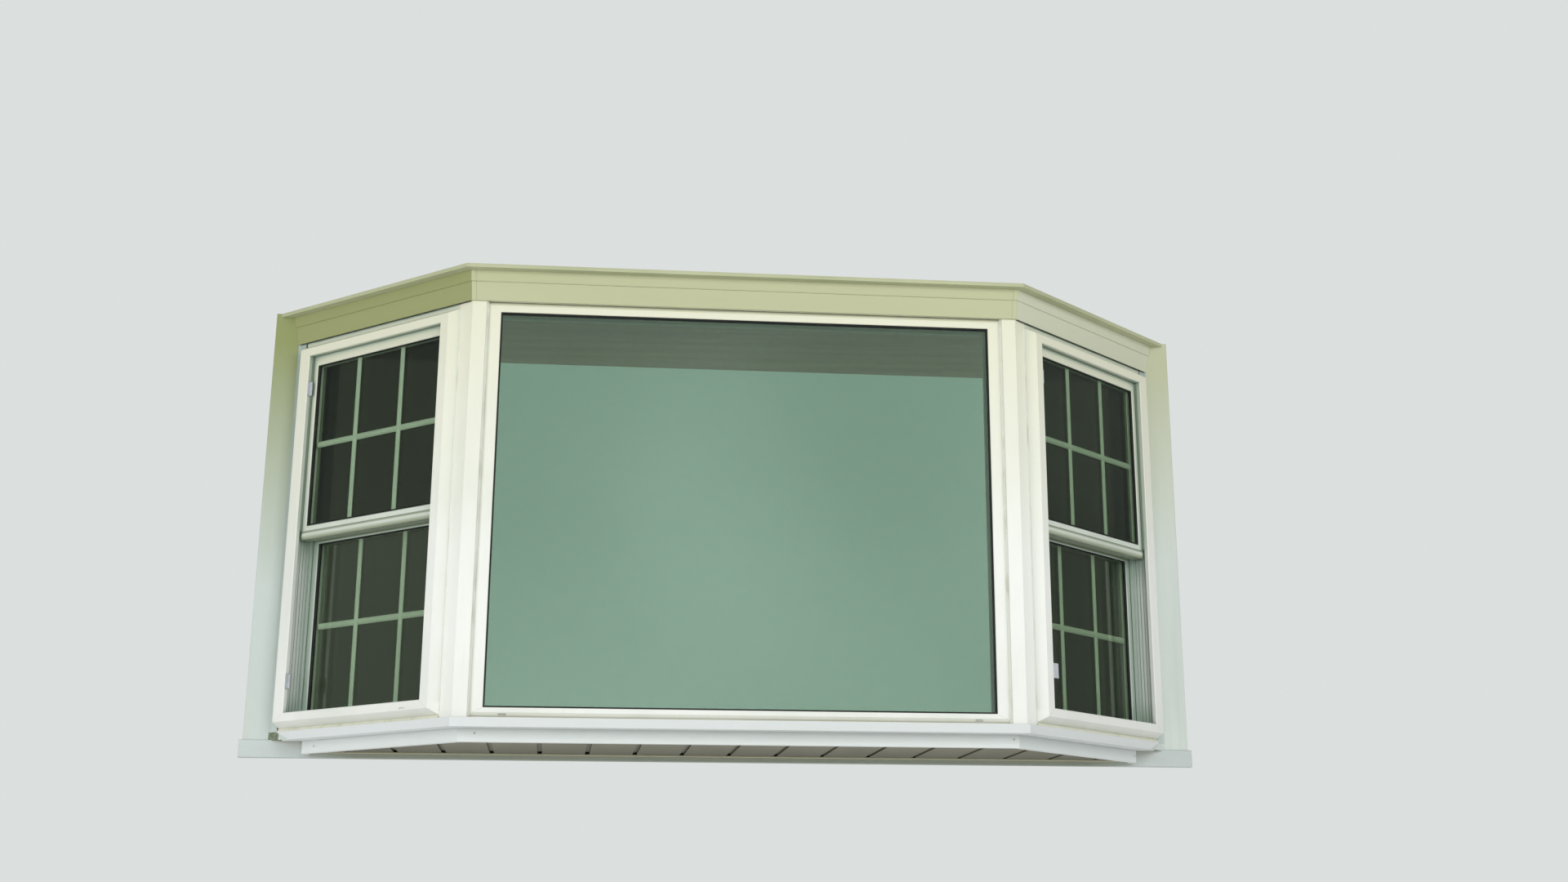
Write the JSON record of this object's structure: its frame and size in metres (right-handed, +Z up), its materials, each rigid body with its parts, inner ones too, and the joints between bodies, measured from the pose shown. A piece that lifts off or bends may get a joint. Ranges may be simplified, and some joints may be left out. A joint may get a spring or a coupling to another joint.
{
  "type": "bay window",
  "caption": "Wall-hung bay window: a fixed front window between two slanted double-hung side windows, with seat and head boards, frieze, sill, ribbed underside and side casings.",
  "frame": {"origin": "centre of the back face of the ledger board, on the outer face of the wall", "axes": "+Z up; +Y into the wall, towards the room; +X along the wall, to the right seen from outside"},
  "size_m": [2.6082, 0.6761, 1.229],
  "materials": {
    "wood_board": "satin",
    "interior_board": "clear varnish, satin",
    "framing_lumber": "planed softwood",
    "vinyl_white": "semi-gloss",
    "window_glass": "clear with a green tint",
    "black_seal": "matte",
    "bar_white": "satin",
    "lock_white": "satin",
    "screen_clip": "satin",
    "trim_white": "satin",
    "soffit_sage": "matte",
    "trim_beige": "satin"
  },
  "bodies": {
    "root": {"frieze_centre": "trim_white", "frieze_left": "trim_white", "frieze_right": "trim_white", "head_blocking": "framing_lumber", "head_board": "interior_board", "ledger_board": "wood_board", "left_casing": "trim_white", "left_corner_cover": "vinyl_white", "left_corner_post": "framing_lumber", "left_frame": "vinyl_white", "left_gaskets": "black_seal", "left_grilles": "bar_white", "left_jamb_board": "interior_board", "left_lower_sash": "vinyl_white", "left_panes": "window_glass", "left_sash_lock": "lock_white", "left_screen_clips": "screen_clip", "left_spacers": "bar_white", "left_upper_sash": "vinyl_white", "left_wall_post": "framing_lumber", "picture_frame": "vinyl_white", "picture_gasket": "black_seal", "picture_panes": "window_glass", "picture_spacer": "black_seal", "right_casing": "trim_white", "right_corner_cover": "vinyl_white", "right_corner_post": "framing_lumber", "right_frame": "vinyl_white", "right_gaskets": "black_seal", "right_grilles": "bar_white", "right_jamb_board": "interior_board", "right_lower_sash": "vinyl_white", "right_panes": "window_glass", "right_sash_lock": "lock_white", "right_screen_clips": "screen_clip", "right_spacers": "bar_white", "right_upper_sash": "vinyl_white", "right_wall_post": "framing_lumber", "seat_board": "interior_board", "seat_fascia_centre": "trim_white", "seat_fascia_left": "trim_white", "seat_fascia_right": "trim_white", "sill_cap_centre": "trim_white", "sill_cap_left": "trim_white", "sill_cap_right": "trim_white", "soffit_channel": "soffit_sage", "underside_panel": "soffit_sage", "underside_trim": "trim_beige"}
  },
  "joints": []
}
